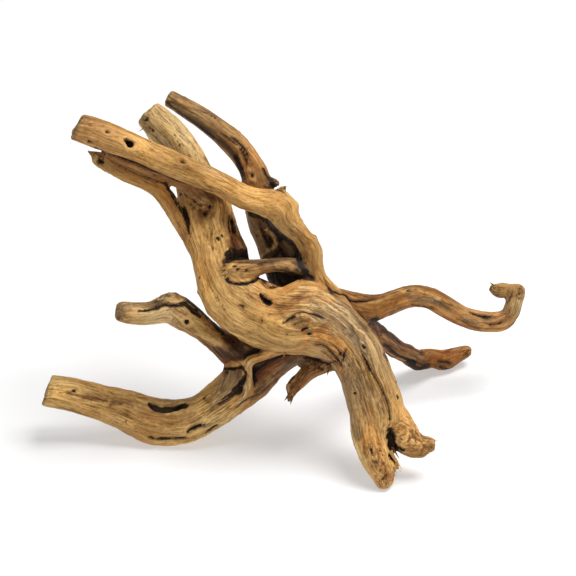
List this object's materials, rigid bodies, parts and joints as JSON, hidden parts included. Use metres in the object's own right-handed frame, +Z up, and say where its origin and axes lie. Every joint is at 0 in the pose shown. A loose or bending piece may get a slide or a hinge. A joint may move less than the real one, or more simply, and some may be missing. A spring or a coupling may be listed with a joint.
{
  "type": "spiderwood root",
  "caption": "Bleached driftwood root with sawn and broken limbs twisting out of a curved trunk, standing on three low points",
  "frame": {"origin": "centre of the bounding box on the floor that the root stands on", "axes": "+X along the longest extent, from the sawn left root to the hooked right limb; -Y the front toe and the pictured side; +Z up"},
  "size_m": [0.5036, 0.2634, 0.3471],
  "materials": {
    "wood": "dry, bleached and scraped, matt, with dark stained hollows"
  },
  "bodies": {
    "root": {"spiderwood_root": "wood"}
  },
  "joints": []
}
